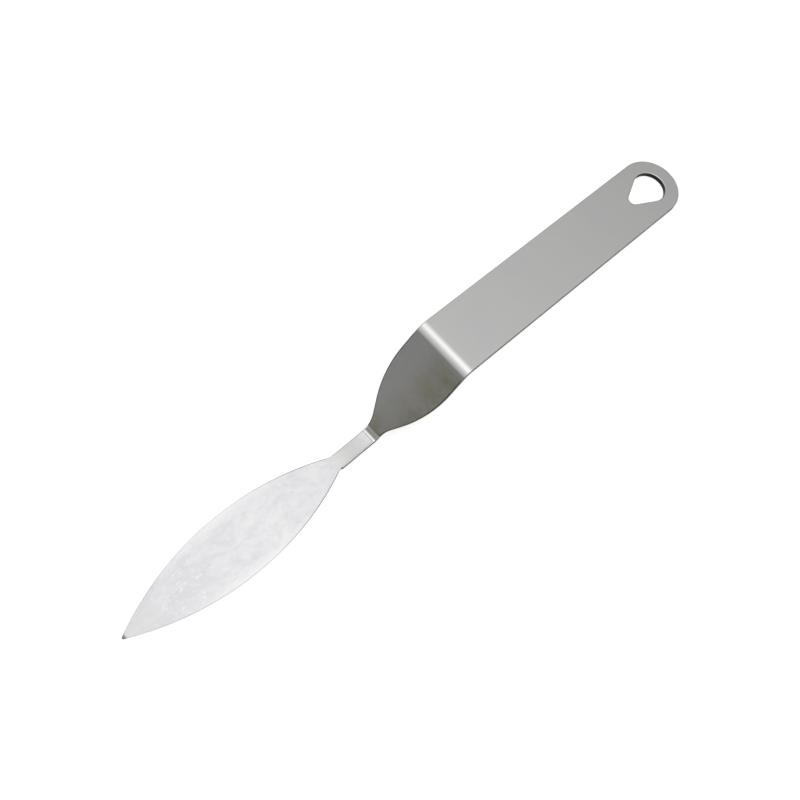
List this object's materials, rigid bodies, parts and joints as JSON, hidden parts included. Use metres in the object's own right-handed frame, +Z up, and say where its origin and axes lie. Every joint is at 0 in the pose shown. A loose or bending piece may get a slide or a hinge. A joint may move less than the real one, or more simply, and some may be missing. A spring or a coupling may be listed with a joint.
{
  "type": "palette knife",
  "caption": "All-steel palette knife: a bent flat strap handle with a teardrop hanging hole and a steep cranked shoulder, and a thin springy leaf-shaped blade.",
  "frame": {"origin": "bottom centre of the bounding box, on the surface the knife lies on", "axes": "+X from the butt to the blade's tip, +Z up, off the table; the knife lies still on the butt's lower edge and the outside of the neck bend, and is mirror-symmetric in Y"},
  "size_m": [0.2219, 0.0202, 0.026],
  "materials": {
    "strap_steel": "satin stainless strap, tumbled edges",
    "blade_steel": "pale ground stainless sheet, finely mottled"
  },
  "bodies": {
    "handle_body": {"handle": "strap_steel", "blade_root": "blade_steel"},
    "leaf_body": {"blade_leaf": "blade_steel"}
  },
  "joints": [
    {"name": "blade_flex", "type": "hinge", "parent": "handle_body", "child": "leaf_body", "pos_m": [0.04342, 0, 0.00621], "axis": [0, -1, 0], "range_deg": [-14, 14], "stiffness_Nm_per_rad": 0.92}
  ]
}
